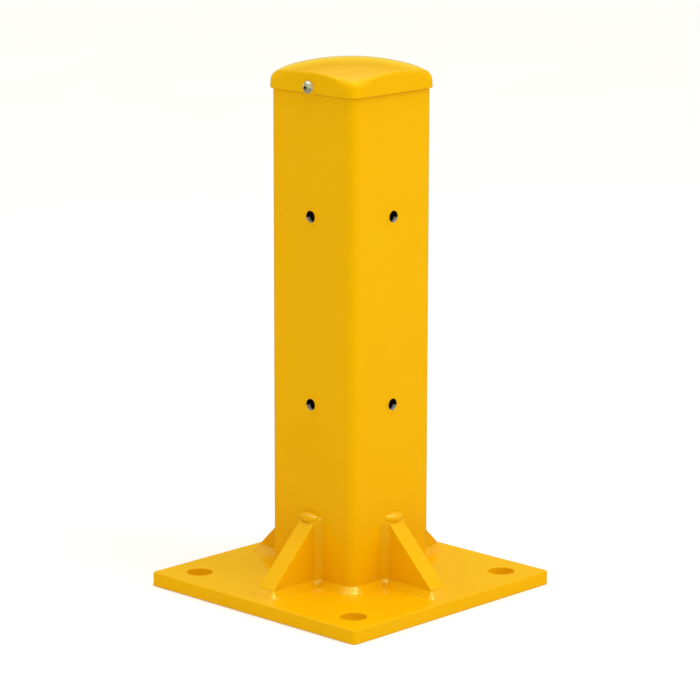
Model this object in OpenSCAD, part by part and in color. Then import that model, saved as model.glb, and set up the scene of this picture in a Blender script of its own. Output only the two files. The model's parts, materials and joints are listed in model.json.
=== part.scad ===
// Square guard-rail post on a base plate with four gussets and a domed cap.
// Millimetres, +Z up. The origin is the centre of the base plate's underside.
// The face that carries the cap's screw looks along -Y and is called the front.

/* [Base plate] */
// Side length of the square plate
plate_w = 250; // [240:5:320]
// Thickness of the plate
plate_t = 12.5; // [10:0.5:20]
// Radius of the plate's upright corners
plate_corner_r = 3; // [1:0.5:10]
// Distance between neighbouring anchor holes
anchor_pitch = 190; // [180:5:200]
// Diameter of each anchor hole
anchor_hole_d = 23; // [18:0.5:26]

/* [Post] */
// Outside width of the square tube
post_w = 100; // [90:2:110]
// Wall thickness of the tube
post_wall = 4; // [3:0.5:5]
// Outside radius of the tube's corners
post_corner_r = 8; // [6:0.5:12]
// Height of the cap's lower edge above the floor
cap_edge_z = 447; // [430:1:700]

/* [Gussets] */
// Thickness of a gusset
gusset_t = 18; // [10:1:24]
// Distance a gusset reaches out from the post, and up from the plate
gusset_leg = 56; // [40:1:60]
// Width of the square-cut tips at a gusset's toe and top
gusset_tip = 6.5; // [3:0.5:10]

/* [Welds] */
// Leg length of the fillet welds
weld_leg = 6; // [3:0.5:8]
// Height of the weld built up over a gusset's top
weld_crown = 9; // [6:0.5:12]

/* [Rail fixings] */
// Height of the lower rail nuts above the floor
rail_low_z = 174; // [140:1:200]
// Distance between the lower and upper rail nuts
rail_pitch = 166; // [120:1:220]
// Diameter of the nut's thread crests, 8.5 for M10
rail_thread_d = 8.5; // [6.8:0.1:8.5]
// Diameter of the plain mouth in front of the thread
rail_mouth_d = 10.5; // [9.5:0.1:11]
// Diameter of the nut's barrel and of its hole in the tube
rail_barrel_d = 13; // [12.5:0.1:14]
// Diameter of the nut's flange on the outside of the tube
rail_flange_d = 15; // [15:0.5:18]

/* [Cap] */
// Thickness of the cap's skirt and dome
cap_wall = 2.5; // [2:0.1:3]
// Gap between the cap's skirt and the tube
cap_gap = 0.2; // [0.1:0.05:0.5]
// Height of the dome's top above the cap's lower edge
cap_rise = 25.5; // [24:0.5:36]
// Radius of the spherical dome
cap_dome_r = 200; // [180:5:400]

/* [Cap screw] */
// Diameter of the pan head
screw_head_d = 11; // [9:0.5:12]
// Height of the pan head
screw_head_h = 4; // [3:0.1:5]
// Diameter over the thread
screw_d = 5.5; // [4.8:0.1:6.3]
// Length of the screw under its head
screw_length = 19; // [16:1:32]
// Height of the screw's axis above the cap's lower edge
screw_up = 5.4; // [5.2:0.1:6]

/* [Hidden] */
$fn = 96;
SPHERE_FN = 300;
eps = 0.01;
// Distance a cutting shape runs past the surface it cuts
over = 1;

PAINT = "#F5B505";
ZINC = "#C9CCC6";
NYLON = "#E4E4DC";

// Post, which reaches this far up into the cap
cap_overlap = 10.5;
tube_top_z = cap_edge_z + cap_overlap;
post_inner_w = post_w - 2 * post_wall;
post_inner_r = post_corner_r - post_wall;

// Rail nuts, measured along the nut's axis from the tube's outside face
flange_t = 0.6;
mouth_depth = 7.5;
bulge_reach = 2;
bulge_d = rail_barrel_d + 2 * bulge_reach;
bulge_t = 3;
nut_depth = 16;
rail_heights = [rail_low_z, rail_low_z + rail_pitch];

// Cap
cap_w = post_w + 2 * (cap_wall + cap_gap);
cap_corner_r = post_corner_r + cap_wall + cap_gap;
cap_top_z = cap_edge_z + cap_rise;
cap_centre_z = cap_top_z - cap_dome_r;
seat_gap = 0.05;
socket_w = post_w + 2 * cap_gap;
socket_top_z = tube_top_z + seat_gap;
seat_lap = 1;
hollow_w = post_inner_w - 2 * seat_lap;

// Cap screw: its axis lies along -Y at this height
screw_z = cap_edge_z + screw_up;
screw_run = 0.05;
washer_t = 0.5;
washer_inset = 0.1;
washer_d = screw_head_d - 2 * washer_inset;
washer_play = 0.1;
washer_bore_d = screw_d + 2 * washer_play;
washer_y = -(cap_w / 2 + screw_run);
head_y = washer_y - washer_t;
head_rim_h = 1.3;
head_dome_h = screw_head_h - head_rim_h;
head_dome_r = (pow(screw_head_d / 2, 2) + pow(head_dome_h, 2)) / (2 * head_dome_h);
point_h = 5;
point_tip_d = 1;
slot_play = 0.2;
slot_w = screw_d + 2 * slot_play;
recess_w = 1.3;
recess_span = 5.6;
recess_h = 2.4;

// Turns about Z that carry the front face onto each of the four faces
FRONT = 0;
RIGHT = 90;
BACK = 180;
LEFT = 270;

// Square with true arcs at its corners
module rounded_square(w, r) {
    straight = w - 2 * r;
    square([w, straight], center = true);
    square([straight, w], center = true);
    for (x = [-1, 1], y = [-1, 1]) {
        translate([x * straight / 2, y * straight / 2]) circle(r = r);
    }
}

// Upright prism on a rounded square
module rounded_prism(w, r, z0, z1) {
    translate([0, 0, z0]) linear_extrude(z1 - z0) rounded_square(w, r);
}

// Lays +Z along -Y, so that a turned part stands out of the front face
module out_of_front(y, z) {
    translate([0, y, z]) rotate([90, 0, 0]) children();
}

// Extrudes a profile drawn as (distance out from the post, height above the plate)
// from x0 to x1 along the front face
module along_front(x0, x1) {
    translate([x0, -post_w / 2, plate_t]) rotate([90, 0, -90]) mirror([0, 0, 1])
        linear_extrude(x1 - x0) children();
}

module base_plate() {
    color(PAINT) difference() {
        rounded_prism(plate_w, plate_corner_r, 0, plate_t);
        for (x = [-1, 1], y = [-1, 1]) {
            translate([x * anchor_pitch / 2, y * anchor_pitch / 2, -eps])
                cylinder(d = anchor_hole_d, h = plate_t + 2 * eps);
        }
    }
}

module post_tube() {
    color(PAINT) difference() {
        rounded_prism(post_w, post_corner_r, plate_t, tube_top_z);
        rounded_prism(post_inner_w, post_inner_r, plate_t - eps, tube_top_z + eps);
        for (turn = [FRONT, RIGHT, BACK, LEFT], z = rail_heights) {
            rotate([0, 0, turn]) out_of_front(-post_inner_w / 2 + over, z)
                cylinder(d = rail_barrel_d, h = post_wall + 2 * over);
        }
        out_of_front(-post_inner_w / 2 + over, screw_z)
            cylinder(d = screw_d + 2 * screw_run, h = post_wall + 2 * over);
    }
}

// Right-angled plate with its two sharp tips cut square
module gusset_profile() {
    polygon([
        [0, 0], [gusset_leg, 0], [gusset_leg, gusset_tip],
        [gusset_tip, gusset_leg], [0, gusset_leg]
    ]);
}

module gusset(turn) {
    color(PAINT) rotate([0, 0, turn])
        along_front(-gusset_t / 2, gusset_t / 2) gusset_profile();
}

// Fillet between the post and a gusset's side, at the gusset's +X side
module upright_fillet(top) {
    translate([gusset_t / 2, -post_w / 2, plate_t]) linear_extrude(top)
        polygon([[0, 0], [weld_leg, 0], [0, -weld_leg]]);
}

// Fillet between the plate and a gusset's side, at the gusset's +X side
module floor_fillet(reach) {
    translate([gusset_t / 2, -post_w / 2, plate_t]) rotate([90, 0, 0]) linear_extrude(reach)
        polygon([[0, 0], [weld_leg, 0], [0, weld_leg]]);
}

// Weld over a gusset's top and weld across its toe
module crown_fillet(half) {
    along_front(-half, half) translate([0, gusset_leg])
        polygon([[0, 0], [gusset_tip, 0], [0, weld_crown]]);
}

module toe_fillet(half) {
    along_front(-half, half) translate([gusset_leg, 0])
        polygon([[0, 0], [weld_leg, 0], [0, weld_leg]]);
}

// The weld that runs right round one gusset, as one bead
module gusset_weld(turn) {
    half = gusset_t / 2;
    color(PAINT) rotate([0, 0, turn]) {
        for (side = [0, 1]) {
            mirror([side, 0, 0]) {
                upright_fillet(gusset_leg);
                floor_fillet(gusset_leg);
                along_front(half, half + weld_leg)
                    polygon([[0, 0], [weld_leg, 0], [0, weld_leg]]);
                intersection() {
                    upright_fillet(gusset_leg + weld_crown);
                    crown_fillet(half + weld_leg);
                }
                intersection() {
                    floor_fillet(gusset_leg + weld_leg);
                    toe_fillet(half + weld_leg);
                }
            }
        }
        crown_fillet(half);
        toe_fillet(half);
    }
}

// Fillet round the foot of the tube: four corner runs, one between each two gussets
module post_foot_weld() {
    start = gusset_t / 2 + weld_leg;
    corner = post_w / 2 - post_corner_r;
    color(PAINT) for (turn = [FRONT, RIGHT, BACK, LEFT]) {
        rotate([0, 0, turn]) {
            along_front(start, corner) polygon([[0, 0], [weld_leg, 0], [0, weld_leg]]);
            rotate([0, 0, 90]) mirror([1, 0, 0])
                along_front(start, corner) polygon([[0, 0], [weld_leg, 0], [0, weld_leg]]);
            translate([corner, -corner, plate_t]) rotate([0, 0, -90]) rotate_extrude(angle = 90)
                translate([post_corner_r, 0]) polygon([[0, 0], [weld_leg, 0], [0, weld_leg]]);
        }
    }
}

// Half section of one rail nut: x is the radius, y is the distance out of the tube's face
module rail_nut_profile() {
    bore = rail_thread_d / 2;
    mouth = rail_mouth_d / 2;
    barrel = rail_barrel_d / 2;
    flange = rail_flange_d / 2;
    bulge = bulge_d / 2;
    polygon([
        [mouth, flange_t], [flange, flange_t], [flange, 0], [barrel, 0], [barrel, -post_wall],
        [bulge, -post_wall], [bulge, -post_wall - bulge_t], [barrel, -post_wall - bulge_t],
        [barrel, -nut_depth], [bore, -nut_depth], [bore, -mouth_depth], [mouth, -mouth_depth]
    ]);
}

// The lower and upper nuts of one face
module rail_nuts(turn) {
    color(ZINC) rotate([0, 0, turn]) for (z = rail_heights) {
        out_of_front(-post_w / 2, z) rotate_extrude() rail_nut_profile();
    }
}

// Domed cap. Its skirt is slotted from the lower edge, so it drops over a slackened screw.
module cap() {
    color(PAINT) difference() {
        intersection() {
            rounded_prism(cap_w, cap_corner_r, cap_edge_z, cap_top_z + over);
            translate([0, 0, cap_centre_z]) sphere(r = cap_dome_r, $fn = SPHERE_FN);
        }
        rounded_prism(socket_w, post_corner_r + cap_gap, cap_edge_z - over, socket_top_z);
        intersection() {
            rounded_prism(hollow_w, post_inner_r, socket_top_z - over, cap_top_z);
            translate([0, 0, cap_centre_z]) sphere(r = cap_dome_r - cap_wall, $fn = SPHERE_FN);
        }
        out_of_front(-post_w / 2 + over, screw_z)
            cylinder(d = slot_w, h = cap_gap + cap_wall + 2 * over);
        translate([-slot_w / 2, -cap_w / 2 - over, cap_edge_z - over])
            cube([slot_w, cap_wall + 2 * over, screw_up + over]);
    }
}

module cap_screw_washer() {
    color(NYLON) out_of_front(washer_y, screw_z) difference() {
        cylinder(d = washer_d, h = washer_t);
        translate([0, 0, -over]) cylinder(d = washer_bore_d, h = washer_t + 2 * over);
    }
}

// Pan head drilling screw: domed head with a cross recess, plain shank, conical point
module cap_screw() {
    color(ZINC) out_of_front(head_y, screw_z) {
        difference() {
            intersection() {
                cylinder(d = screw_head_d, h = screw_head_h + over);
                translate([0, 0, screw_head_h - head_dome_r]) sphere(r = head_dome_r);
            }
            for (turn = [0, 90]) {
                rotate([0, 0, turn]) translate([-recess_span / 2, -recess_w / 2, screw_head_h - recess_h])
                    cube([recess_span, recess_w, recess_h + over]);
            }
            translate([0, 0, -screw_head_d]) cylinder(d = 2 * screw_head_d, h = screw_head_d);
        }
        translate([0, 0, -(screw_length - point_h)])
            cylinder(d = screw_d, h = screw_length - point_h + eps);
        translate([0, 0, -screw_length]) cylinder(d1 = point_tip_d, d2 = screw_d, h = point_h);
    }
}

base_plate();
post_tube();
gusset(FRONT);  // gusset_front
gusset(RIGHT);  // gusset_right
gusset(BACK);  // gusset_back
gusset(LEFT);  // gusset_left
gusset_weld(FRONT);  // gusset_front_weld
gusset_weld(RIGHT);  // gusset_right_weld
gusset_weld(BACK);  // gusset_back_weld
gusset_weld(LEFT);  // gusset_left_weld
post_foot_weld();
rail_nuts(FRONT);  // rail_nuts_front
rail_nuts(RIGHT);  // rail_nuts_right
rail_nuts(BACK);  // rail_nuts_back
rail_nuts(LEFT);  // rail_nuts_left
cap();
cap_screw_washer();
cap_screw();
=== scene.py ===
"""Looks of the square guard-rail post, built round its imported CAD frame. Units are metres."""

import json
import math

import bmesh
import bpy
import numpy as np
from mathutils import Matrix, Vector


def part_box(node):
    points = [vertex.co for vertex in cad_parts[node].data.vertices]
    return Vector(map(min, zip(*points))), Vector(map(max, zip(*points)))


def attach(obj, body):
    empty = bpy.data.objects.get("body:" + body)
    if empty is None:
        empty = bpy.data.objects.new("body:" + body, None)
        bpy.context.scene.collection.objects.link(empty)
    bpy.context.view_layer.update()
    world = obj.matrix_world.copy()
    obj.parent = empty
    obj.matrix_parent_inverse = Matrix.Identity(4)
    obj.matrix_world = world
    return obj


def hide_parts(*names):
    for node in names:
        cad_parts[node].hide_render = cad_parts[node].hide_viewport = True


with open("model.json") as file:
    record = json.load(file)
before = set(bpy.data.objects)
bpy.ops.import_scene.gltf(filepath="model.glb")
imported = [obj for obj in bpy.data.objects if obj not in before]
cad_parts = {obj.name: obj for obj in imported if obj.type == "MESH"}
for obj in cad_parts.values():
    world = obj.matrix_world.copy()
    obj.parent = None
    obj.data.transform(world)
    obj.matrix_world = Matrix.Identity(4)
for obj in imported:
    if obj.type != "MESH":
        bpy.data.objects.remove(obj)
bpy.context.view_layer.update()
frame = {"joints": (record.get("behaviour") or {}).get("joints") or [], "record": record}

MM = 0.001
# Turn about +Z, in degrees, that takes the front face to each face of the post
TURNS = {"front": 0, "right": 90, "back": 180, "left": 270}

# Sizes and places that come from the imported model
MOUNTS = {mount["name"]: mount for mount in frame["record"]["mounts"]}
JOINTS = {joint["name"]: joint for joint in frame["joints"]}
PLATE_LOW, PLATE_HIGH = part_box("base_plate")
TUBE_LOW, TUBE_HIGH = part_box("post_tube")
GUSSET_LOW, GUSSET_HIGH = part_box("gusset_front")
CAP_LOW, CAP_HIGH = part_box("cap")
SCREW_LOW, SCREW_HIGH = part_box("cap_screw")
WASHER_LOW, WASHER_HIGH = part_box("cap_screw_washer")
NUT_LOW, NUT_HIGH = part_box("rail_nuts_front")
FLOOR_LEVEL = PLATE_LOW.z
PLATE_TOP = PLATE_HIGH.z
PLATE_HALF = PLATE_HIGH.x
POST_HALF = TUBE_HIGH.x
GUSSET_HALF = GUSSET_HIGH.x
GUSSET_REACH = -GUSSET_LOW.y - POST_HALF
GUSSET_RISE = GUSSET_HIGH.z - PLATE_TOP
CAP_HALF = CAP_HIGH.x
CAP_RISE = CAP_HIGH.z - CAP_LOW.z
ANCHOR_PITCH = MOUNTS["anchor_holes"]["dims"]["spacing_x_mm"] * MM
ANCHOR_R = MOUNTS["anchor_holes"]["dims"]["hole_r_mm"] * MM
RAIL_DIMS = MOUNTS["rail_front"]["dims"]
RAIL_CENTRE_Z = MOUNTS["rail_front"]["pos_m"][2]
RAIL_HEIGHTS = [RAIL_CENTRE_Z + side * RAIL_DIMS["spacing_y_mm"] * MM / 2 for side in (-1, 1)]
THREAD_CREST_R = RAIL_DIMS["hole_r_mm"] * MM
THREAD_START = POST_HALF + MOUNTS["rail_front"]["pos_m"][1]
NUT_FLANGE = -NUT_LOW.y - POST_HALF
NUT_DEPTH = POST_HALF + NUT_HIGH.y
SCREW_Z = JOINTS["screw_turn"]["pos_m"][2]
SCREW_HEAD_R = (SCREW_HIGH.x - SCREW_LOW.x) / 2
HEAD_HEIGHT = WASHER_LOW.y - SCREW_LOW.y
SCREW_LENGTH = SCREW_HIGH.y - WASHER_LOW.y
WASHER_R = (WASHER_HIGH.x - WASHER_LOW.x) / 2
WASHER_THICK = WASHER_HIGH.y - WASHER_LOW.y

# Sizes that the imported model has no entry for: tube, plate and gussets
TUBE_WALL = 4 * MM
TUBE_CORNER = 8 * MM
TUBE_EDGE = 0.4 * MM
PLATE_CORNER = 3 * MM
PLATE_EDGE = 0.9 * MM
GUSSET_TIP = 6.5 * MM
GUSSET_EDGE = 1.1 * MM
GUSSET_CORNER = 0.8 * MM

# Welds. The crown is the flat oval lump over a gusset's top. The swells change a weld's leg along its run
WELD_LEG = 6 * MM
FOOT_WELD_LEG = 0.95 * WELD_LEG
WELD_SINK = 0.5 * MM
WELD_BLEND = 1.5 * MM
WELD_CORNER_R = 1.22 * WELD_LEG
WELD_FULLNESS = 0.95
FOOT_WELD_START = GUSSET_HALF + 1 * MM
WELD_GRID = 0.6 * MM
GRID_MARGIN = 1.5 * MM
GRID_ROOM = 2 * MM
SLOW_WAVE = 9 * MM
SLOW_SWELL = 0.32 * MM
QUICK_WAVE = 3.7 * MM
QUICK_SWELL = 0.18 * MM
RIPPLE_PITCH = 2.4 * MM
RIPPLE_DEPTH = 0.07 * MM
RIPPLE_FADE = 4 * MM
CROWN_HALF = (GUSSET_HALF + 2.4 * MM, 7.0 * MM, 5.0 * MM)
CROWN_OUT = 0.6 * MM
CROWN_UP = GUSSET_RISE + 4.2 * MM
CROWN_SCALE = 6 * MM
CROWN_BLEND = 1.2 * MM
CROWN_ROOM = 12 * MM

# Rail nuts: blind nuts set in the tube's wall
NUT_BARREL_R = 6.5 * MM
NUT_FLANGE_R = 7.5 * MM
NUT_RIM = 0.35 * MM
NUT_BULGE = 2 * MM
NUT_BULGE_LENGTH = 3 * MM
NUT_MOUTH_R = 5.25 * MM
NUT_THREAD_PITCH = 1.5 * MM
NUT_THREAD_DEPTH = 0.75 * MM
# Painted shade goes on the bores deeper than NUT_BRIGHT_DEPTH, and on their part above NUT_SHADE_DROP under
# the axis
NUT_BRIGHT_DEPTH = 3.8 * MM
NUT_SHADE_DROP = 1 * MM

# Cap: a domed top that rolls over a crease into the skirt. The crease is widest at the corners, and narrows
# along each side as the smaller of x and y, taken without sign, goes from the second number of
# CAP_CORNER_BLEND down to the first
CAP_WALL = 2.5 * MM
CAP_CORNER = TUBE_CORNER + CAP_HALF - POST_HALF
CAP_DOME_R = 200 * MM
CAP_CREASE_R = 2.2 * MM
CAP_CORNER_CREASE_R = 6.5 * MM
CAP_CORNER_BLEND = (24 * MM, 43 * MM)
CAP_DRAFT = 0.3 * MM
CAP_LIP = 0.5 * MM
CAP_SOCKET_GAP = 0.2 * MM
CAP_SOCKET_EDGE = 0.3 * MM
CAP_SOCKET_DEPTH = TUBE_HIGH.z - CAP_LOW.z + 0.05 * MM
CAP_HOLLOW_HALF = 45 * MM
CAP_HOLLOW_CORNER = 4 * MM

# Cap screw and its washer
SCREW_R = 2.75 * MM
SCREW_CORE_R = 2.05 * MM
SCREW_PITCH = 1.8 * MM
SCREW_POINT = 5 * MM
SCREW_NECK = 0.3 * MM
HEAD_RIM = 1.3 * MM
RECESS_DEPTH = 2.6 * MM
RECESS_FLOOR = (0.9 * MM, 0.45 * MM)
RECESS_MOUTH = (3.0 * MM, 0.68 * MM)
RECESS_TURN_DEG = 20
SLOT_R = SCREW_R + 0.2 * MM
TUBE_HOLE_R = SCREW_R + 0.05 * MM
WASHER_BORE_R = SCREW_R + 0.1 * MM
WASHER_EDGE = 0.15 * MM


# ---------------------------------------------------------------- mesh helpers

def new_object(name, mesh):
    piece = bpy.data.objects.new(name, mesh)
    bpy.context.scene.collection.objects.link(piece)
    return piece


def mesh_object(name, points, faces):
    """Object from points and faces, with every face turned outwards."""
    mesh = bpy.data.meshes.new(name)
    mesh.from_pydata([tuple(point) for point in points], [], [tuple(face) for face in faces])
    work = bmesh.new()
    work.from_mesh(mesh)
    bmesh.ops.recalc_face_normals(work, faces=work.faces)
    work.to_mesh(mesh)
    work.free()
    return new_object(name, mesh)


def evaluated_mesh(piece):
    """The piece's mesh with its modifiers applied."""
    bpy.context.view_layer.update()
    depsgraph = bpy.context.evaluated_depsgraph_get()
    return bpy.data.meshes.new_from_object(piece.evaluated_get(depsgraph))


def apply_modifiers(piece):
    mesh = evaluated_mesh(piece)
    piece.modifiers.clear()
    piece.data = mesh


def sheet(rows, closed_rows=False, caps=False):
    """Points and faces of a sheet of quads. rows is (rows, columns, 3), and the columns close on themselves.
    closed_rows joins the last row to the first, and caps closes both ends with a fan."""
    count, width = rows.shape[:2]
    points = list(rows.reshape(-1, 3))
    faces = []
    for row in range(count if closed_rows else count - 1):
        below = (row + 1) % count
        for column in range(width):
            beside = (column + 1) % width
            faces.append((row * width + column, row * width + beside,
                          below * width + beside, below * width + column))
    if caps:
        for row in (0, count - 1):
            centre = len(points)
            points.append(rows[row].mean(axis=0))
            for column in range(width):
                faces.append((row * width + column, row * width + (column + 1) % width, centre))
    return points, faces


def rounded_square(half, radius, arc_steps=8, side_steps=12):
    """Points round a square of the given half width, with arcs of the given radius at its corners."""
    points = []
    centre = half - radius
    for quarter in range(4):
        sign_x, sign_y = ((1, 1), (-1, 1), (-1, -1), (1, -1))[quarter]
        start = quarter * math.pi / 2
        for step in range(arc_steps + 1):
            angle = start + step / arc_steps * math.pi / 2
            points.append((sign_x * centre + radius * math.cos(angle),
                           sign_y * centre + radius * math.sin(angle)))
        along = Vector((-math.sin(start + math.pi / 2), math.cos(start + math.pi / 2)))
        first = Vector(points[-1])
        for step in range(1, side_steps):
            points.append(tuple(first + along * (2 * centre * step / side_steps)))
    return np.array(points)


def ring_at(half, radius, height, **steps):
    outline = rounded_square(half, radius, **steps)
    return np.column_stack([outline, np.full(len(outline), height)])


def circle(radius, steps=64, centre=(0, 0)):
    angle = np.arange(steps) / steps * 2 * math.pi
    return np.column_stack([centre[0] + radius * np.cos(angle), centre[1] + radius * np.sin(angle)])


def rounded_polygon(corners, radius, steps=5):
    """Outline through the corners of a convex shape, given anticlockwise, each rounded to the radius."""
    outline = []
    count = len(corners)
    for i, corner in enumerate(corners):
        here = Vector(corner)
        back = (Vector(corners[i - 1]) - here).normalized()
        ahead = (Vector(corners[(i + 1) % count]) - here).normalized()
        half_angle = back.angle(ahead) / 2
        centre = here + (back + ahead).normalized() * (radius / math.sin(half_angle))
        first = math.atan2(back.x, -back.y)
        for step in range(steps + 1):
            angle = first + (math.pi - 2 * half_angle) * step / steps
            outline.append((centre.x + radius * math.cos(angle), centre.y + radius * math.sin(angle)))
    return np.array(outline)


def cut_plate(name, outer, holes, thickness, edge):
    """Plate centred on z = 0, cut to the outer outline with round-edged holes. Every edge is rounded."""
    curve = bpy.data.curves.new(name, "CURVE")
    curve.dimensions = "2D"
    curve.fill_mode = "BOTH"
    curve.extrude = thickness / 2 - edge
    curve.bevel_depth = edge
    curve.bevel_resolution = 3
    curve.offset = -edge
    for outline in [outer] + [hole[::-1] for hole in holes]:
        spline = curve.splines.new("POLY")
        spline.points.add(len(outline) - 1)
        for point, place in zip(spline.points, outline):
            point.co = (place[0], place[1], 0, 1)
        spline.use_cyclic_u = True
    holder = new_object(name + "-outline", curve)
    mesh = evaluated_mesh(holder)
    bpy.data.objects.remove(holder)
    work = bmesh.new()
    work.from_mesh(mesh)
    bmesh.ops.remove_doubles(work, verts=work.verts, dist=0.001 * MM)
    bmesh.ops.recalc_face_normals(work, faces=work.faces)
    work.to_mesh(mesh)
    work.free()
    return new_object(name, mesh)


def turned(profile, steps=64, wobble=None):
    """Rows of a turned shape about +Z. profile is a list of (radius, height); wobble(radius, height, angle)
    may change the radius round the turn."""
    angle = np.arange(steps) / steps * 2 * math.pi
    rows = []
    for radius, height in profile:
        radii = np.full(steps, radius) if wobble is None else wobble(radius, height, angle)
        rows.append(np.column_stack([radii * np.cos(angle), radii * np.sin(angle), np.full(steps, height)]))
    return np.array(rows)


def arc(centre, radius, start_deg, end_deg, steps):
    """Points (radius, height) along an arc of a turned profile."""
    angles = np.radians(np.linspace(start_deg, end_deg, steps + 1))
    return [(centre[0] + radius * math.cos(a), centre[1] + radius * math.sin(a)) for a in angles]


def prism(name, outline, low, high):
    """Closed prism along Z on an outline."""
    rows = np.array([np.column_stack([outline, np.full(len(outline), z)]) for z in (low, high)])
    return mesh_object(name, *sheet(rows, caps=True))


def join_objects(name, objects):
    """One object from several, which are deleted."""
    work = bmesh.new()
    for piece in objects:
        mesh = piece.data.copy()
        mesh.transform(piece.matrix_world)
        work.from_mesh(mesh)
        bpy.data.meshes.remove(mesh)
        bpy.data.objects.remove(piece)
    mesh = bpy.data.meshes.new(name)
    work.to_mesh(mesh)
    work.free()
    return new_object(name, mesh)


def cut_away(piece, cutter):
    """Takes the cutter's volume out of the piece, then deletes the cutter."""
    modifier = piece.modifiers.new("cut", "BOOLEAN")
    modifier.object = cutter
    modifier.operation = "DIFFERENCE"
    modifier.solver = "EXACT"
    apply_modifiers(piece)
    bpy.data.objects.remove(cutter)


def about_z(degrees):
    return Matrix.Rotation(math.radians(degrees), 4, "Z")


def out_of_face(face, distance, height):
    """Takes +Z of a turned shape to straight out of one of the post's faces."""
    place = Matrix.Translation((0, -distance, height))
    return about_z(TURNS[face]) @ place @ Matrix.Rotation(math.pi / 2, 4, "X")


def place_mesh(piece, matrix):
    piece.data.transform(matrix)
    piece.data.update()
    return piece


def shade(piece, sharp_deg=40, weighted=True):
    """Smooth shading that keeps edges sharper than the given angle. weighted keeps big flat faces flat."""
    piece.data.polygons.foreach_set("use_smooth", [True] * len(piece.data.polygons))
    piece.data.set_sharp_from_angle(angle=math.radians(sharp_deg))
    if weighted:
        modifier = piece.modifiers.new("even normals", "WEIGHTED_NORMAL")
        modifier.keep_sharp = True
        modifier.weight = 100
        apply_modifiers(piece)


def settle(piece, node, body, material):
    """Gives a piece its material unless it has its own, and puts it on its body in place of a CAD node."""
    if not piece.data.materials:
        piece.data.materials.append(material)
    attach(piece, body)
    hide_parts(node)


# ---------------------------------------------------------------- surface of a field

def polygonise(field, low, high, step):
    """Closed quad mesh where field(points) is zero, one vertex in each cell that the surface crosses.
    field is negative inside, and takes and gives arrays."""
    axes = [np.arange(a, b + step, step) for a, b in zip(low, high)]
    grid = np.stack(np.meshgrid(*axes, indexing="ij"), axis=-1)
    value = field(grid)
    inside = value < 0
    cells = np.array(value.shape) - 1

    def corner(array, offset):
        return array[tuple(slice(o, o + n) for o, n in zip(offset, cells))]

    total = np.zeros((*cells, 3))
    crossings = np.zeros(cells)
    for axis in range(3):
        for a in (0, 1):
            for b in (0, 1):
                start = np.insert([a, b], axis, 0)
                end = np.insert([a, b], axis, 1)
                v0, v1 = corner(value, start), corner(value, end)
                crossed = (v0 < 0) != (v1 < 0)
                share = np.where(crossed, v0 / np.where(crossed, v0 - v1, 1), 0)
                p0, p1 = corner(grid, start), corner(grid, end)
                total += np.where(crossed[..., None], p0 + share[..., None] * (p1 - p0), 0)
                crossings += crossed
    active = crossings > 0
    number = np.full(cells, -1)
    number[active] = np.arange(active.sum())
    points = total[active] / crossings[active][:, None]

    faces = []
    for axis in range(3):
        others = [k for k in range(3) if k != axis]
        first = [slice(1, -1)] * 3
        first[axis] = slice(0, -1)
        second = list(first)
        second[axis] = slice(1, None)
        starts = inside[tuple(first)]
        changed = np.argwhere(starts != inside[tuple(second)])
        flip = starts[tuple(changed.T)] != (axis == 1)
        node = changed + np.array([0 if k == axis else 1 for k in range(3)])
        quad = []
        for a, b in ((1, 1), (0, 1), (0, 0), (1, 0)):
            cell = node.copy()
            cell[:, others[0]] -= a
            cell[:, others[1]] -= b
            quad.append(number[tuple(cell.T)])
        quad = np.stack(quad, axis=1)
        quad[~flip] = quad[~flip][:, ::-1]
        faces.append(quad)
    return points, np.concatenate(faces)


def onto_surface(points, field, step):
    """Moves points along the field's slope until they lie on its zero surface. No pass moves a point by more
    than half a step, and a slope too slight to trust counts as least_steep."""
    passes, least_steep = 3, 0.05
    small = step * 0.05
    for _ in range(passes):
        value = field(points)
        slope = np.stack([(field(points + np.eye(3)[k] * small) - field(points - np.eye(3)[k] * small))
                          / (2 * small) for k in range(3)], axis=-1)
        steep = np.maximum((slope ** 2).sum(axis=-1), least_steep)
        move = -(value / steep)[:, None] * slope
        length = np.linalg.norm(move, axis=1, keepdims=True)
        points = points + move * np.minimum(1, 0.5 * step / np.maximum(length, 1e-12))
    return points


def field_object(name, field, low, high, step=WELD_GRID):
    points, faces = polygonise(field, low, high, step)
    points = onto_surface(points, field, step)
    return mesh_object(name, points, faces)


def smooth_min(a, b, reach):
    """Lower of two fields, blended over the given reach."""
    share = np.clip(0.5 + 0.5 * (b - a) / reach, 0, 1)
    return b + (a - b) * share - reach * share * (1 - share)


def bead(first, second, leg):
    """Field of a fillet between two surfaces, from the distances to them. A WELD_FULLNESS of 1 is a flat
    face, 2 a round one, and below 1 a hollow one."""
    a, b = np.maximum(first, 0), np.maximum(second, 0)
    return (a ** WELD_FULLNESS + b ** WELD_FULLNESS + 1e-16) ** (1 / WELD_FULLNESS) - leg


def distance_to_post(p):
    """Distance from points to the outside of the square tube."""
    x = np.abs(p[..., 0]) - (POST_HALF - TUBE_CORNER)
    y = np.abs(p[..., 1]) - (POST_HALF - TUBE_CORNER)
    outside = np.hypot(np.maximum(x, 0), np.maximum(y, 0))
    return outside + np.minimum(np.maximum(x, y), 0) - TUBE_CORNER


def distance_to_gusset(p):
    """Distance from points to the front gusset."""
    across = np.abs(p[..., 0]) - GUSSET_HALF
    out = -p[..., 1] - POST_HALF - GUSSET_REACH
    up = p[..., 2] - PLATE_TOP - GUSSET_RISE
    slope = (out + up + GUSSET_REACH - GUSSET_TIP) / math.sqrt(2)
    profile = np.maximum(np.maximum(out, up), slope)
    outside = np.hypot(np.maximum(across, 0), np.maximum(profile, 0))
    return outside + np.minimum(np.maximum(across, profile), 0)


def uneven(along, seed):
    """Slow change of a weld's leg along its run, as a hand-held torch leaves it. seed shifts both waves."""
    slow = np.sin(along / SLOW_WAVE + seed * 1.7)
    quick = np.sin(along / QUICK_WAVE + seed * 4.1)
    return SLOW_SWELL * slow + QUICK_SWELL * quick


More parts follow.
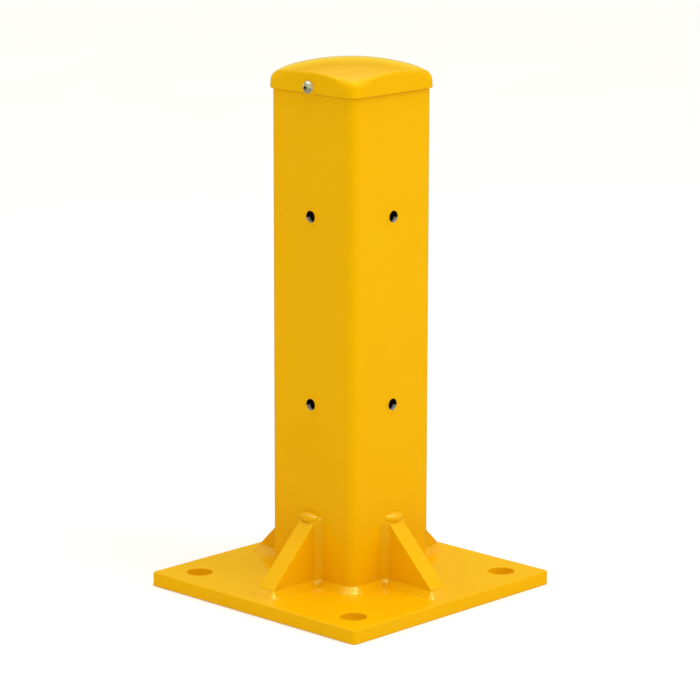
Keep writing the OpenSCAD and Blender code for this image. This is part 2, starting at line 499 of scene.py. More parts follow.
def ripples(along, first, second):
    """Overlapping crescents that a weld pool leaves. They bow back at both edges of the bead."""
    bow = (first - second) ** 2 / (3 * WELD_LEG)
    return RIPPLE_DEPTH * np.cos((along + bow) / RIPPLE_PITCH * 2 * math.pi)


def gusset_weld_field(seed):
    """Weld round the front gusset: beads up both sides and along the plate, filled corners, and a crown."""
    plate_seed = seed + 5

    def field(p):
        height = p[..., 2] - PLATE_TOP
        out = -p[..., 1] - POST_HALF
        side = np.sign(p[..., 0])
        to_post = distance_to_post(p)
        to_gusset = distance_to_gusset(p)
        below_top = np.clip((GUSSET_RISE - height) / RIPPLE_FADE, 0, 1)
        upright = bead(to_post, to_gusset, WELD_LEG + uneven(height, seed + side))
        upright = upright + below_top * ripples(height, to_post, to_gusset)
        flat = bead(height, to_gusset, WELD_LEG + uneven(out, plate_seed + side))
        flat = flat + ripples(out, height, to_gusset)
        corner = np.sqrt(np.maximum(height, 0) ** 2 + np.maximum(to_post, 0) ** 2
                         + np.maximum(to_gusset, 0) ** 2) - WELD_CORNER_R
        crown = (np.sqrt((p[..., 0] / CROWN_HALF[0]) ** 2
                         + ((out - CROWN_OUT) / CROWN_HALF[1]) ** 2
                         + ((height - CROWN_UP) / CROWN_HALF[2]) ** 2) - 1) * CROWN_SCALE
        weld = smooth_min(upright, flat, WELD_BLEND)
        weld = smooth_min(weld, corner, WELD_BLEND)
        weld = smooth_min(weld, crown, CROWN_BLEND)
        sunk = np.maximum(np.maximum(-height, -to_post), -to_gusset) - WELD_SINK
        return np.maximum(weld, sunk)
    return field


def foot_weld_field(seed):
    """Fillet round one corner of the tube's foot, between the front gusset and the right one."""
    bend = POST_HALF - TUBE_CORNER

    def field(p):
        height = p[..., 2] - PLATE_TOP
        to_post = distance_to_post(p)
        turn = np.arctan2(np.maximum(p[..., 0] - bend, 0), np.maximum(-p[..., 1] - bend, 1e-9))
        along = np.minimum(p[..., 0], bend) + np.maximum(p[..., 1], -bend) + TUBE_CORNER * turn
        weld = bead(height, to_post, FOOT_WELD_LEG + uneven(along, seed))
        weld = weld + ripples(along, height, to_post)
        ends = np.maximum(FOOT_WELD_START - p[..., 0], FOOT_WELD_START + p[..., 1])
        sunk = np.maximum(-height, -to_post) - WELD_SINK
        return np.maximum(np.maximum(weld, sunk), ends)
    return field


# ---------------------------------------------------------------- materials

# Patterns of the finishes, in features per metre
PAINT_BLOTCHES = 9
PAINT_RUB = 45
PAINT_WAVES = 60
PAINT_PEEL = 420
ZINC_MOTTLE = 700
ZINC_SHEEN = 1500
ZINC_GRAIN = 2600
NYLON_CLOUD = 400
NYLON_SHEEN = 900
NYLON_GRAIN = 1800
FLOOR_CLOUD = 3

# Part of a noise's 0 to 1 that its values mostly fill
NOISE_LOW = 0.3
NOISE_HIGH = 0.7

# The two colours and the result of Blender's colour mix node, which has other sockets of the same name
MIX_FIRST = 6
MIX_SECOND = 7
MIX_RESULT = 2

# Reach of the painted shade under the cap's skirt
GAP_SHADE_REACH = 2.4 * MM
EDGE_REACH = 1.2 * MM


class Nodes:
    """Short way to build a material's node tree."""

    def __init__(self, name):
        self.material = bpy.data.materials.new(name)
        self.material.use_nodes = True
        self.tree = self.material.node_tree
        self.shader = self.tree.nodes["Principled BSDF"]
        self.place = self.add("ShaderNodeTexCoord").outputs["Object"]

    def add(self, kind, **settings):
        node = self.tree.nodes.new(kind)
        for key, value in settings.items():
            setattr(node, key, value)
        return node

    def link(self, output, target):
        self.tree.links.new(output, target)

    def noise(self, scale, detail=2.0, roughness=0.5):
        """Noise between 0 and 1. scale is features per metre."""
        node = self.add("ShaderNodeTexNoise")
        for key, number in (("Scale", scale), ("Detail", detail), ("Roughness", roughness)):
            node.inputs[key].default_value = number
        self.link(self.place, node.inputs["Vector"])
        return node.outputs["Fac"]

    def spread(self, value, low, high, out_low=0.0, out_high=1.0):
        """Maps low..high of a value onto out_low..out_high, held at both ends."""
        node = self.add("ShaderNodeMapRange")
        self.link(value, node.inputs["Value"])
        for key, number in (("From Min", low), ("From Max", high), ("To Min", out_low), ("To Max", out_high)):
            node.inputs[key].default_value = number
        return node.outputs["Result"]

    def clouds(self, scale, out_low=0.0, out_high=1.0, **noise):
        """Noise stretched to fill out_low..out_high."""
        return self.spread(self.noise(scale, **noise), NOISE_LOW, NOISE_HIGH, out_low, out_high)

    def mix(self, share, first, second):
        """Colour between first and second, each a colour or an output."""
        node = self.add("ShaderNodeMix", data_type="RGBA")
        self.link(share, node.inputs["Factor"])
        for socket, colour in ((node.inputs[MIX_FIRST], first), (node.inputs[MIX_SECOND], second)):
            if isinstance(colour, bpy.types.NodeSocket):
                self.link(colour, socket)
            else:
                socket.default_value = (*colour, 1)
        return node.outputs[MIX_RESULT]

    def bump(self, height, depth, under=None):
        """Bump whose height runs from 0 to depth metres."""
        node = self.add("ShaderNodeBump")
        node.inputs["Strength"].default_value = 1.0
        node.inputs["Distance"].default_value = depth
        self.link(height, node.inputs["Height"])
        if under is not None:
            self.link(under, node.inputs["Normal"])
        return node.outputs["Normal"]

    def edges(self, radius):
        """1 on edges sharper than the radius, 0 on flat faces."""
        rounded = self.add("ShaderNodeBevel", samples=4)
        rounded.inputs["Radius"].default_value = radius
        geometry = self.add("ShaderNodeNewGeometry")
        dot = self.add("ShaderNodeVectorMath", operation="DOT_PRODUCT")
        self.link(rounded.outputs["Normal"], dot.inputs[0])
        self.link(geometry.outputs["Normal"], dot.inputs[1])
        flat, sharp = 1.0, 0.8
        return self.spread(dot.outputs["Value"], flat, sharp)

    def height(self):
        """Height in the shared frame."""
        split = self.add("ShaderNodeSeparateXYZ")
        self.link(self.place, split.inputs["Vector"])
        return split.outputs["Z"]

    def gaps(self, reach):
        """1 close under an overhang that is nearer than the reach, 0 on open faces."""
        nearby = self.add("ShaderNodeAmbientOcclusion", samples=6)
        nearby.inputs["Distance"].default_value = reach
        covered, clear = 0.55, 0.74
        return self.spread(nearby.outputs["AO"], covered, clear, 1.0, 0.0)

    def set(self, **values):
        """Sets or links inputs of the shader. An underscore stands for a space in an input's name."""
        for key, value in values.items():
            socket = self.shader.inputs[key.replace("_", " ")]
            if isinstance(value, bpy.types.NodeSocket):
                self.link(value, socket)
            else:
                socket.default_value = value


def paint_material(name, deep, light, gloss, peel_depth, shine=0.5, shine_blue=0.06, gap_shade=None):
    """Yellow powder coat: near-even colour, orange peel, thin coat on the edges, and painted shade in the gap
    under the cap, where the skirt's overhang throws a contact shadow. shine_blue is the blue left in its
    reflections, and lower is a deeper yellow."""
    nodes = Nodes(name)
    colour = nodes.mix(nodes.clouds(PAINT_BLOTCHES, detail=3), deep, light)
    thin = tuple(min(1.0, 1.04 * part + 0.004) for part in light)
    colour = nodes.mix(nodes.spread(nodes.edges(EDGE_REACH), 0, 1, 0, 0.5), colour, thin)
    # Painted shade: the tube darkens just under the cap's skirt, where the overhang throws a contact shadow
    if gap_shade:
        near_cap = nodes.spread(nodes.height(), CAP_LOW.z - 2 * GAP_SHADE_REACH, CAP_LOW.z - GAP_SHADE_REACH)
        colour = nodes.mix(near_cap, colour, nodes.mix(nodes.gaps(GAP_SHADE_REACH), colour, gap_shade))
    rub = nodes.noise(PAINT_RUB, detail=5, roughness=0.65)
    nodes.set(Base_Color=colour, Roughness=nodes.spread(rub, 0.3, 0.75, gloss - 0.04, gloss + 0.05))
    peel = nodes.bump(nodes.noise(PAINT_PEEL, detail=1.5), peel_depth)
    nodes.set(Normal=nodes.bump(nodes.noise(PAINT_WAVES, detail=1), 3 * peel_depth, under=peel))
    nodes.set(Specular_IOR_Level=shine, Specular_Tint=(1.0, 1.0, shine_blue, 1))
    return nodes.material


def metal_material(name, dark, bright, gloss, grain_depth, metallic):
    """Zinc plate: mottled passivation with a fine grain."""
    nodes = Nodes(name)
    mottle = nodes.clouds(ZINC_MOTTLE, detail=4, roughness=0.7)
    nodes.set(Base_Color=nodes.mix(mottle, dark, bright), Metallic=metallic)
    nodes.set(Roughness=nodes.clouds(ZINC_SHEEN, gloss - 0.06, gloss + 0.1, detail=3))
    nodes.set(Normal=nodes.bump(nodes.noise(ZINC_GRAIN, detail=3), grain_depth))
    return nodes.material


def nylon_material(name):
    """Pale moulded plastic, slightly cloudy."""
    nodes = Nodes(name)
    cloud = nodes.clouds(NYLON_CLOUD, detail=3)
    nodes.set(Base_Color=nodes.mix(cloud, (0.70, 0.70, 0.66), (0.80, 0.80, 0.76)))
    nodes.set(Roughness=nodes.clouds(NYLON_SHEEN, 0.38, 0.5))
    nodes.set(Normal=nodes.bump(nodes.noise(NYLON_GRAIN), 0.01 * MM), Subsurface_Weight=0.1)
    return nodes.material


def floor_material(name):
    """Matt near-white floor. A faint bluish glow takes out the yellow that the post casts on it."""
    nodes = Nodes(name)
    cloud = nodes.clouds(FLOOR_CLOUD, detail=3)
    nodes.set(Base_Color=nodes.mix(cloud, (0.93, 0.93, 0.93), (0.95, 0.95, 0.95)), Roughness=0.9)
    nodes.set(Specular_IOR_Level=0.0, Emission_Color=(0.7, 0.7, 1.0, 1), Emission_Strength=0.07)
    nodes.material.cycles.emission_sampling = "NONE"
    return nodes.material


YELLOW_DEEP = (0.905, 0.470, 0.0010)
YELLOW_LIGHT = (0.925, 0.488, 0.0012)
CAP_YELLOW_DEEP = (0.895, 0.470, 0.0012)
CAP_YELLOW_LIGHT = (0.915, 0.486, 0.0014)
# Painted shade: dark brown laid on the tube under the cap's skirt
PAINTED_GAP_SHADE = (0.24, 0.11, 0.001)

PAINT = paint_material("powder_coat", YELLOW_DEEP, YELLOW_LIGHT, gloss=0.14, peel_depth=0.006 * MM)
WELD_PAINT = paint_material("powder_coat_on_weld", YELLOW_DEEP, YELLOW_LIGHT, gloss=0.12,
                            peel_depth=0.007 * MM, shine=0.8, shine_blue=0.35)
# Post's coat, with painted shade under the cap's skirt
POST_PAINT = paint_material("powder_coat_on_post", YELLOW_DEEP, YELLOW_LIGHT, gloss=0.14,
                            peel_depth=0.006 * MM, gap_shade=PAINTED_GAP_SHADE)
CAP_PAINT = paint_material("cap_coat", CAP_YELLOW_DEEP, CAP_YELLOW_LIGHT, gloss=0.11, peel_depth=0.004 * MM)
NUT_STEEL = metal_material("nut_zinc", (0.66, 0.64, 0.56), (0.90, 0.88, 0.80), gloss=0.30,
                           grain_depth=0.004 * MM, metallic=0.3)
# Near-black steel that stands in for shade: painted shade in the nut bores and in the screw's recess
PAINTED_SHADE_STEEL = metal_material("steel_in_painted_shade", (0.010, 0.010, 0.008), (0.05, 0.045, 0.035), gloss=0.34,
                              grain_depth=0.004 * MM, metallic=0.7)
SCREW_STEEL = metal_material("screw_zinc", (0.72, 0.74, 0.68), (0.90, 0.91, 0.87), gloss=0.24,
                             grain_depth=0.003 * MM, metallic=0.8)
NYLON = nylon_material("washer_nylon")


# ---------------------------------------------------------------- pieces

def build_base_plate():
    holes = [circle(ANCHOR_R, 72, (x * ANCHOR_PITCH / 2, y * ANCHOR_PITCH / 2))
             for x in (-1, 1) for y in (-1, 1)]
    outline = rounded_square(PLATE_HALF, PLATE_CORNER, arc_steps=8, side_steps=1)
    piece = cut_plate("base_plate-visual", outline, holes, PLATE_TOP - FLOOR_LEVEL, PLATE_EDGE)
    place_mesh(piece, Matrix.Translation((0, 0, (PLATE_TOP + FLOOR_LEVEL) / 2)))
    shade(piece)
    settle(piece, "base_plate", "post", PAINT)


def build_post_tube():
    inner_half = POST_HALF - TUBE_WALL
    inner_corner = TUBE_CORNER - TUBE_WALL
    edge = TUBE_EDGE
    rings = [(POST_HALF, TUBE_CORNER, TUBE_LOW.z),
             (POST_HALF, TUBE_CORNER, TUBE_HIGH.z - edge),
             (POST_HALF - edge, TUBE_CORNER - edge, TUBE_HIGH.z),
             (inner_half + edge, inner_corner + edge, TUBE_HIGH.z),
             (inner_half, inner_corner, TUBE_HIGH.z - edge),
             (inner_half, inner_corner, TUBE_LOW.z)]
    rows = [ring_at(*ring, arc_steps=12, side_steps=1) for ring in rings]
    piece = mesh_object("post_tube-visual", *sheet(np.array(rows), closed_rows=True))

    def wall_cutter(face, outline, height):
        cutter = prism("cutter", outline, -1.5 * TUBE_WALL, 0.5 * TUBE_WALL)
        return place_mesh(cutter, out_of_face(face, POST_HALF, height))

    cutters = [wall_cutter(face, circle(NUT_BARREL_R, 48), height)
               for face in TURNS for height in RAIL_HEIGHTS]
    cutters.append(wall_cutter("front", circle(TUBE_HOLE_R, 40), SCREW_Z))
    cut_away(piece, join_objects("cutters", cutters))
    shade(piece)
    settle(piece, "post_tube", "post", POST_PAINT)


def build_gussets():
    corners = [(0, 0), (GUSSET_REACH, 0), (GUSSET_REACH, GUSSET_TIP),
               (GUSSET_TIP, GUSSET_RISE), (0, GUSSET_RISE)]
    outline = rounded_polygon(corners, GUSSET_CORNER)
    upright = Matrix(((0, 0, 1, 0), (-1, 0, 0, -POST_HALF), (0, 1, 0, PLATE_TOP), (0, 0, 0, 1)))
    for face, turn in TURNS.items():
        piece = cut_plate(f"gusset_{face}-visual", outline, [], 2 * GUSSET_HALF, GUSSET_EDGE)
        place_mesh(piece, about_z(turn) @ upright)
        shade(piece)
        settle(piece, f"gusset_{face}", "post", PAINT)


def build_gusset_welds():
    wide = GUSSET_HALF + WELD_LEG + GRID_ROOM
    reach = POST_HALF + GUSSET_REACH + WELD_LEG + GRID_ROOM
    low = (-wide, -reach, PLATE_TOP - GRID_MARGIN)
    high = (wide, -POST_HALF + GRID_MARGIN, PLATE_TOP + GUSSET_RISE + CROWN_ROOM)
    for number, (face, turn) in enumerate(TURNS.items()):
        piece = field_object(f"gusset_{face}_weld-visual", gusset_weld_field(number * 3.1), low, high)
        place_mesh(piece, about_z(turn))
        shade(piece, sharp_deg=60, weighted=False)
        settle(piece, f"gusset_{face}_weld", "post", WELD_PAINT)


def build_foot_weld():
    near = FOOT_WELD_START - GRID_ROOM
    reach = POST_HALF + WELD_LEG + GRID_ROOM
    low = (near, -reach, PLATE_TOP - GRID_MARGIN)
    high = (reach, -near, PLATE_TOP + WELD_LEG + GRID_ROOM)
    runs = []
    for number, turn in enumerate(TURNS.values()):
        run = field_object("run", foot_weld_field(number * 2.3 + 1), low, high)
        runs.append(place_mesh(run, about_z(turn)))
    piece = join_objects("post_foot_weld-visual", runs)
    shade(piece, sharp_deg=60, weighted=False)
    settle(piece, "post_foot_weld", "post", WELD_PAINT)


def rail_nut_rows():
    """Rows of a set blind nut about +Z, with the post's face at 0: its outside, its thread and its mouth."""
    outer = arc((NUT_MOUTH_R + NUT_RIM, NUT_FLANGE - NUT_RIM), NUT_RIM, 180, 90, 4)
    outer += arc((NUT_FLANGE_R - NUT_RIM, NUT_FLANGE - NUT_RIM), NUT_RIM, 90, 0, 4)
    outer += [(NUT_FLANGE_R, 0), (NUT_BARREL_R, 0), (NUT_BARREL_R, -TUBE_WALL)]
    for share in np.arange(1, 12) / 12:
        swell = math.sin(share * math.pi) ** 0.7
        outer.append((NUT_BARREL_R + NUT_BULGE * swell, -TUBE_WALL - NUT_BULGE_LENGTH * share))
    outer += [(NUT_BARREL_R, -TUBE_WALL - NUT_BULGE_LENGTH), (NUT_BARREL_R, -NUT_DEPTH + NUT_RIM),
              (NUT_BARREL_R - NUT_RIM, -NUT_DEPTH),
              (THREAD_CREST_R + NUT_THREAD_DEPTH + 0.3 * MM, -NUT_DEPTH)]
    rows_per_turn = 10
    run = NUT_DEPTH - THREAD_START
    count = round(run / NUT_THREAD_PITCH * rows_per_turn)
    thread = [(THREAD_CREST_R, -NUT_DEPTH + run * step / count) for step in range(count + 1)]
    mouth = [(NUT_MOUTH_R - 0.15 * MM, -THREAD_START + 0.4 * MM)]
    mouth += [(NUT_MOUTH_R, height)
              for height in np.linspace(-THREAD_START + 0.9 * MM, NUT_FLANGE - 2 * NUT_RIM, 9)]

    def groove(radius, height, angle):
        """Radius round a row, with the thread's groove cut into the rows at its crest."""
        if radius != THREAD_CREST_R:
            return np.full(len(angle), radius)
        phase = (height / NUT_THREAD_PITCH - angle / (2 * math.pi)) % 1
        return THREAD_CREST_R + NUT_THREAD_DEPTH * np.clip(1.35 - 3.1 * np.abs(phase - 0.5), 0, 1)

    return turned(outer + thread + mouth, 56, groove)


def finish_rail_nuts(piece, outward):
    """Paint on the flanges, painted shade (near-black steel) deep in the bores and over their upper part,
    where light from above doesn't reach, and bright steel on the rest. outward points straight out of the
    nuts' face."""
    bright, painted, dark = 0, 1, 2
    for material in (NUT_STEEL, PAINT, PAINTED_SHADE_STEEL):
        piece.data.materials.append(material)
    for polygon in piece.data.polygons:
        away = polygon.center.dot(outward) - POST_HALF
        axis_z = min(RAIL_HEIGHTS, key=lambda z: abs(polygon.center.z - z))
        side = polygon.center - outward * polygon.center.dot(outward)
        radius = math.hypot(side.x + side.y, polygon.center.z - axis_z)
        on_flange = away > 0.05 * MM and radius > NUT_MOUTH_R + 0.02 * MM
        in_bore = radius < NUT_MOUTH_R + 0.05 * MM
        # Painted shade: near-black steel deep in the bore and on its upper part, which the light from above
        # leaves in shade
        gets_painted_shade = away < -NUT_BRIGHT_DEPTH or polygon.center.z > axis_z - NUT_SHADE_DROP
        if on_flange:
            polygon.material_index = painted
        elif in_bore and gets_painted_shade:
            polygon.material_index = dark
        else:
            polygon.material_index = bright


def build_rail_nuts():
    for face in TURNS:
        nuts = []
        for height in RAIL_HEIGHTS:
            nut = mesh_object("nut", *sheet(rail_nut_rows(), closed_rows=True))
            nuts.append(place_mesh(nut, out_of_face(face, POST_HALF, height)))
        piece = join_objects(f"rail_nuts_{face}-visual", nuts)
        finish_rail_nuts(piece, out_of_face(face, 0, 0).to_3x3() @ Vector((0, 0, 1)))
        shade(piece, sharp_deg=50, weighted=False)
        settle(piece, f"rail_nuts_{face}", "post", NUT_STEEL)


def cap_dome(outline, wall=0.0):
    """Height of the dome above the cap's lower edge, at each point of an outline."""
    radius = CAP_DOME_R - wall
    return CAP_RISE - CAP_DOME_R + np.sqrt(radius ** 2 - (outline ** 2).sum(axis=1))


def cap_rows():
    """Rows from the dome's middle, over the crease, down the skirt, and back up the socket and hollow."""

    def outline(inset):
        return rounded_square(CAP_HALF - inset, CAP_CORNER - inset, arc_steps=12, side_steps=20)

    def row(points, height):
        return np.column_stack([points, np.broadcast_to(height, len(points)) + CAP_LOW.z])

    skirt = outline(CAP_DRAFT)
    inward = (outline(CAP_DRAFT + MM) - skirt) / MM
    near_corner = (np.abs(skirt).min(axis=1) - CAP_CORNER_BLEND[0]) / np.ptp(CAP_CORNER_BLEND)
    near_corner = np.clip(near_corner, 0, 1)
    near_corner = near_corner ** 2 * (3 - 2 * near_corner)
    crease_r = CAP_CREASE_R + (CAP_CORNER_CREASE_R - CAP_CREASE_R) * near_corner

    # Dome, then crease, then skirt, then the round lip at its lower edge
    rows = []
    top = skirt + inward * crease_r[:, None]
    for share in np.linspace(0, 1, 19)[1:]:
        rows.append(row(top * share, cap_dome(top * share)))
    for angle in np.radians(np.linspace(0, 90, 13)[1:]):
        points = skirt + inward * (crease_r * (1 - math.sin(angle)))[:, None]
        rows.append(row(points, cap_dome(points) - crease_r * (1 - math.cos(angle))))
    crease = rows[-1][:, 2] - CAP_LOW.z
    for share in np.linspace(0, 1, 7)[1:]:
        rows.append(row(outline(CAP_DRAFT * (1 - share)), crease + (CAP_LIP - crease) * share))
    for angle in np.radians([30, 60, 90]):
        rows.append(row(outline(CAP_LIP * (1 - math.cos(angle))), CAP_LIP * (1 - math.sin(angle))))

    # Socket that takes the tube, its seat on the tube's end, and the hollow under the dome
    socket = CAP_HALF - POST_HALF - CAP_SOCKET_GAP
    rows.append(row(outline(socket - CAP_SOCKET_EDGE), 0))
    for share in np.linspace(0, 1, 6):
        height = CAP_SOCKET_EDGE + (CAP_SOCKET_DEPTH - CAP_SOCKET_EDGE) * share
        rows.append(row(outline(socket), height))
    hollow = rounded_square(CAP_HOLLOW_HALF, CAP_HOLLOW_CORNER, arc_steps=12, side_steps=20)
    rows.append(row(hollow, CAP_SOCKET_DEPTH))
    for share in np.linspace(1, 0, 12)[:-1]:
        rows.append(row(hollow * share, cap_dome(hollow * share, CAP_WALL)))
    return np.array(rows)


def build_cap():
    piece = mesh_object("cap-visual", *sheet(cap_rows(), caps=True))
    below_skirt = -(SCREW_Z - CAP_LOW.z) - 2 * MM
    slot = [(SLOT_R * math.cos(a), SLOT_R * math.sin(a)) for a in np.radians(np.linspace(0, 180, 25))]
    slot += [(-SLOT_R, below_skirt), (SLOT_R, below_skirt)]
    cutter = prism("cutter", np.array(slot), -3 * CAP_WALL, 2 * CAP_WALL)
    cut_away(piece, place_mesh(cutter, out_of_face("front", CAP_HALF, SCREW_Z)))
    shade(piece, sharp_deg=50, weighted=False)
    settle(piece, "cap", "cap", CAP_PAINT)


def recess_cutters():
    """The screw's cross recess: two tapered blades that meet in the middle."""
    levels = ((RECESS_FLOOR, HEAD_HEIGHT - RECESS_DEPTH), (RECESS_MOUTH, HEAD_HEIGHT + 0.6 * MM))
    faces = [(0, 1, 2, 3), (4, 5, 6, 7)]
    faces += [(k, (k + 1) % 4, 4 + (k + 1) % 4, 4 + k) for k in range(4)]
    blades = []
    for turn in (0, 90):
        points = []
        for (half_span, half_width), height in levels:
            for x, y in ((-1, -1), (1, -1), (1, 1), (-1, 1)):
                points.append((x * half_span, y * half_width, height))
        blades.append(place_mesh(mesh_object("blade", points, faces), about_z(turn)))
    return blades


def screw_dome(radius):
    """Height of the domed head above the washer's outer face."""
    dome = HEAD_HEIGHT - HEAD_RIM
    dome_r = (SCREW_HEAD_R ** 2 + dome ** 2) / (2 * dome)
    return HEAD_HEIGHT - dome_r + math.sqrt(dome_r ** 2 - radius ** 2)


def screw_rows():
    """Rows of the screw about +Z, with the washer's outer face at 0: head, threaded shank and drill point."""
    radii = SCREW_HEAD_R * np.linspace(0.04, 0.965, 14)
    head = [(radius, screw_dome(radius)) for radius in radii]
    # Rounded rim, straight side, and flat underside
    head += [(SCREW_HEAD_R - 0.05 * MM, HEAD_RIM + 0.1 * MM), (SCREW_HEAD_R, HEAD_RIM - 0.15 * MM),
             (SCREW_HEAD_R, 0.25 * MM), (SCREW_HEAD_R - 0.2 * MM, 0), (SCREW_R + 0.3 * MM, 0)]
    rows_per_turn = 12
    run = SCREW_LENGTH - SCREW_POINT
    count = round(run / SCREW_PITCH * rows_per_turn)
    shank = [(SCREW_CORE_R, -SCREW_NECK - (run - SCREW_NECK) * step / count) for step in range(count + 1)]
    drill_r = 0.98 * SCREW_CORE_R
    tip_start = 0.68
    point = [(drill_r, -run - SCREW_POINT * share) for share in np.linspace(0.05, tip_start, 12)]
    tip = [(drill_r * (1 - share), -run - SCREW_POINT * (tip_start + (1 - tip_start) * share))
           for share in np.linspace(0.15, 0.95, 7)]

    def ridge_or_flute(radius, height, angle):
        """Radius round a row: a plain head, a threaded shank whose ridge fades at both ends, and a drill point
        with two flutes."""
        if height > -SCREW_NECK - 1e-9:
            return np.full(len(angle), radius)
        if height >= -run:
            phase = (height / SCREW_PITCH - angle / (2 * math.pi)) % 1
            ridge = np.clip(1.1 - 5 * np.abs(phase - 0.5), 0, 1)
            from_point = np.clip((height + run) / (2.5 * MM), 0, 1)
            from_neck = np.clip((-height - SCREW_NECK) / (1.0 * MM), 0, 1)
            return radius + from_point * from_neck * (SCREW_R - SCREW_CORE_R) * ridge
        spin = angle + (height + run) / (9 * MM)
        flute = np.clip(np.abs(np.sin(spin)) * 2.2 - 1.25, 0, 1)
        depth = 0.42 * np.clip((-height - run) / (1.2 * MM), 0, 1)
        return radius * (1 - depth * flute)

    return turned(head + shank + point + tip, 48, ridge_or_flute)


def build_cap_screw():
    piece = mesh_object("cap_screw-visual", *sheet(screw_rows(), caps=True))
    for blade in recess_cutters():
        cut_away(piece, blade)
    piece.data.materials.append(SCREW_STEEL)
    piece.data.materials.append(PAINTED_SHADE_STEEL)
    # Painted shade: the cross recess gets the near-black steel, where shade falls in it
    for polygon in piece.data.polygons:
        radius = math.hypot(polygon.center.x, polygon.center.y)
        sunk = HEAD_RIM < polygon.center.z < screw_dome(min(radius, SCREW_HEAD_R)) - 0.15 * MM
        in_recess = sunk and radius < 0.8 * SCREW_HEAD_R
        polygon.material_index = int(in_recess)
    place_mesh(piece, out_of_face("front", -WASHER_LOW.y, SCREW_Z) @ about_z(RECESS_TURN_DEG))
    shade(piece, sharp_deg=35, weighted=False)
    settle(piece, "cap_screw", "screw", SCREW_STEEL)


def build_washer():
    outer = WASHER_R - WASHER_EDGE
    inner = WASHER_BORE_R + WASHER_EDGE
    top = WASHER_THICK - WASHER_EDGE
    profile = arc((outer, WASHER_EDGE), WASHER_EDGE, -90, 0, 3)
    profile += arc((outer, top), WASHER_EDGE, 0, 90, 3)
    profile += arc((inner, top), WASHER_EDGE, 90, 180, 3)
    profile += arc((inner, WASHER_EDGE), WASHER_EDGE, 180, 270, 3)
    piece = mesh_object("cap_screw_washer-visual", *sheet(turned(profile, 56), closed_rows=True))
    place_mesh(piece, out_of_face("front", -WASHER_HIGH.y, SCREW_Z))
    shade(piece, sharp_deg=50, weighted=False)
    settle(piece, "cap_screw_washer", "screw_washer", NYLON)


# ---------------------------------------------------------------- stage, light and camera

# Studio dome as the post sees it: share of the way from straight down to straight up, and colour
DOME_STOPS = ((0.0, (0.20, 0.18, 0.12)), (0.46, (0.20, 0.18, 0.12)), (0.50, (0.75, 0.70, 0.35)),
              (0.53, (0.80, 0.74, 0.20)), (0.60, (0.82, 0.74, 0.10)), (0.70, (0.14, 0.14, 0.10)),
              (0.82, (0.48, 0.48, 0.48)), (1.0, (2.2, 2.2, 2.2)))

FLOOR_HALF = 30

# Camera in the shared frame, which stands off the front right corner and looks slightly down. Yaw turns it
# from +Y about +Z
CAMERA_PLACE = (1.9463, -2.0237, 0.8484)
CAMERA_YAW_DEG = 43.90
CAMERA_PITCH_DEG = -12.72
CAMERA_ROLL_DEG = 0.11
LENS_MM = 168.6
SENSOR_MM = 36


def build_stage():
    corners = [(x * FLOOR_HALF, y * FLOOR_HALF, FLOOR_LEVEL)
               for x, y in ((-1, -1), (1, -1), (1, 1), (-1, 1))]
    floor = mesh_object("floor", corners, [(0, 1, 2, 3)])
    floor.data.materials.append(floor_material("pale_floor"))
    floor.visible_glossy = False


def area_light(name, azimuth, elevation, distance, size, power):
    """Square soft light that faces the middle of the post. Azimuth 0 is in front, 90 on the right."""
    centre = Vector((0, 0, (TUBE_HIGH.z + FLOOR_LEVEL) / 2))
    a, e = math.radians(azimuth), math.radians(elevation)
    away = Vector((math.sin(a) * math.cos(e), -math.cos(a) * math.cos(e), math.sin(e)))
    light = bpy.data.lights.new(name, "AREA")
    light.shape = "SQUARE"
    light.size = size
    light.energy = power
    lamp = new_object(name, light)
    lamp.location = centre + away * distance
    lamp.rotation_euler = (-away).to_track_quat("-Z", "Y").to_euler()


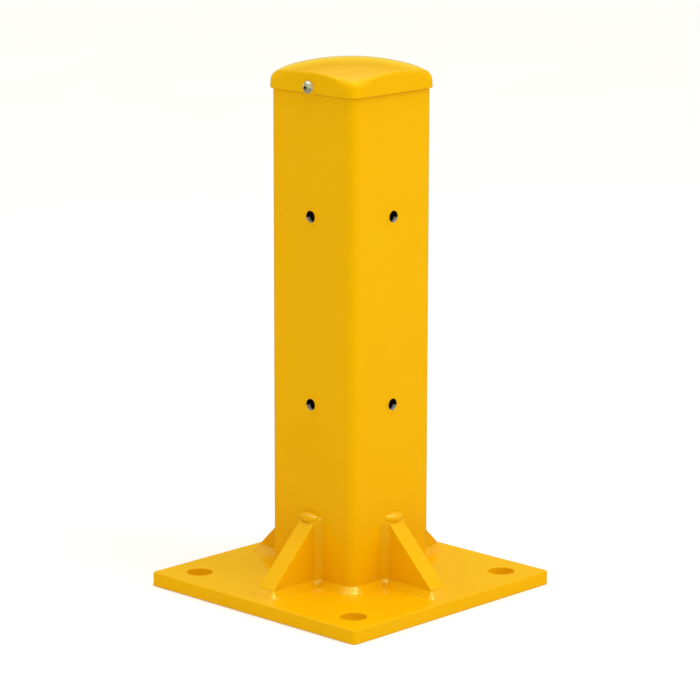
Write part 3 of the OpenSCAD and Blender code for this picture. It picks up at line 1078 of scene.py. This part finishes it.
def build_world():
    """Studio dome, which is plain white to the camera."""
    world = bpy.data.worlds.new("studio")
    bpy.context.scene.world = world
    world.use_nodes = True
    tree = world.node_tree
    direction = tree.nodes.new("ShaderNodeTexCoord")
    split = tree.nodes.new("ShaderNodeSeparateXYZ")
    spread = tree.nodes.new("ShaderNodeMapRange")
    spread.inputs["From Min"].default_value = -1
    ramp = tree.nodes.new("ShaderNodeValToRGB")
    path = tree.nodes.new("ShaderNodeLightPath")
    seen = tree.nodes.new("ShaderNodeMix")
    seen.data_type = "RGBA"
    seen.inputs[MIX_SECOND].default_value = (1, 1, 1, 1)
    for output, target in ((direction.outputs["Generated"], split.inputs["Vector"]),
                           (split.outputs["Z"], spread.inputs["Value"]),
                           (spread.outputs["Result"], ramp.inputs["Fac"]),
                           (path.outputs["Is Camera Ray"], seen.inputs["Factor"]),
                           (ramp.outputs["Color"], seen.inputs[MIX_FIRST]),
                           (seen.outputs[MIX_RESULT], tree.nodes["Background"].inputs["Color"])):
        tree.links.new(output, target)
    elements = ramp.color_ramp.elements
    while len(elements) < len(DOME_STOPS):
        elements.new(0.5)
    for element, (place, colour) in zip(elements, DOME_STOPS):
        element.position = place
        element.color = (*colour, 1)


def build_camera():
    data = bpy.data.cameras.new("camera")
    data.sensor_width = SENSOR_MM
    data.lens = LENS_MM
    data.clip_start = 0.1
    data.clip_end = 200
    camera = new_object("camera", data)
    camera.location = CAMERA_PLACE
    level = Matrix.Rotation(math.radians(CAMERA_YAW_DEG), 3, "Z")
    tilt = Matrix.Rotation(math.pi / 2 + math.radians(CAMERA_PITCH_DEG), 3, "X")
    roll = Matrix.Rotation(math.radians(CAMERA_ROLL_DEG), 3, "Z")
    camera.rotation_euler = (level @ tilt @ roll).to_euler()
    bpy.context.scene.camera = camera


build_base_plate()
build_post_tube()
build_gussets()
build_gusset_welds()
build_foot_weld()
build_rail_nuts()
build_cap()
build_cap_screw()
build_washer()
build_stage()
build_world()
area_light("overhead", azimuth=100, elevation=60, distance=2.4, size=0.5, power=8.0)
area_light("front", azimuth=48, elevation=74, distance=2.4, size=0.35, power=3.2)
area_light("key", azimuth=60, elevation=42, distance=2.6, size=0.2, power=1.0)
area_light("side", azimuth=122, elevation=27, distance=2.6, size=1.4, power=6.2)
build_camera()
bpy.context.scene.view_settings.view_transform = "Standard"
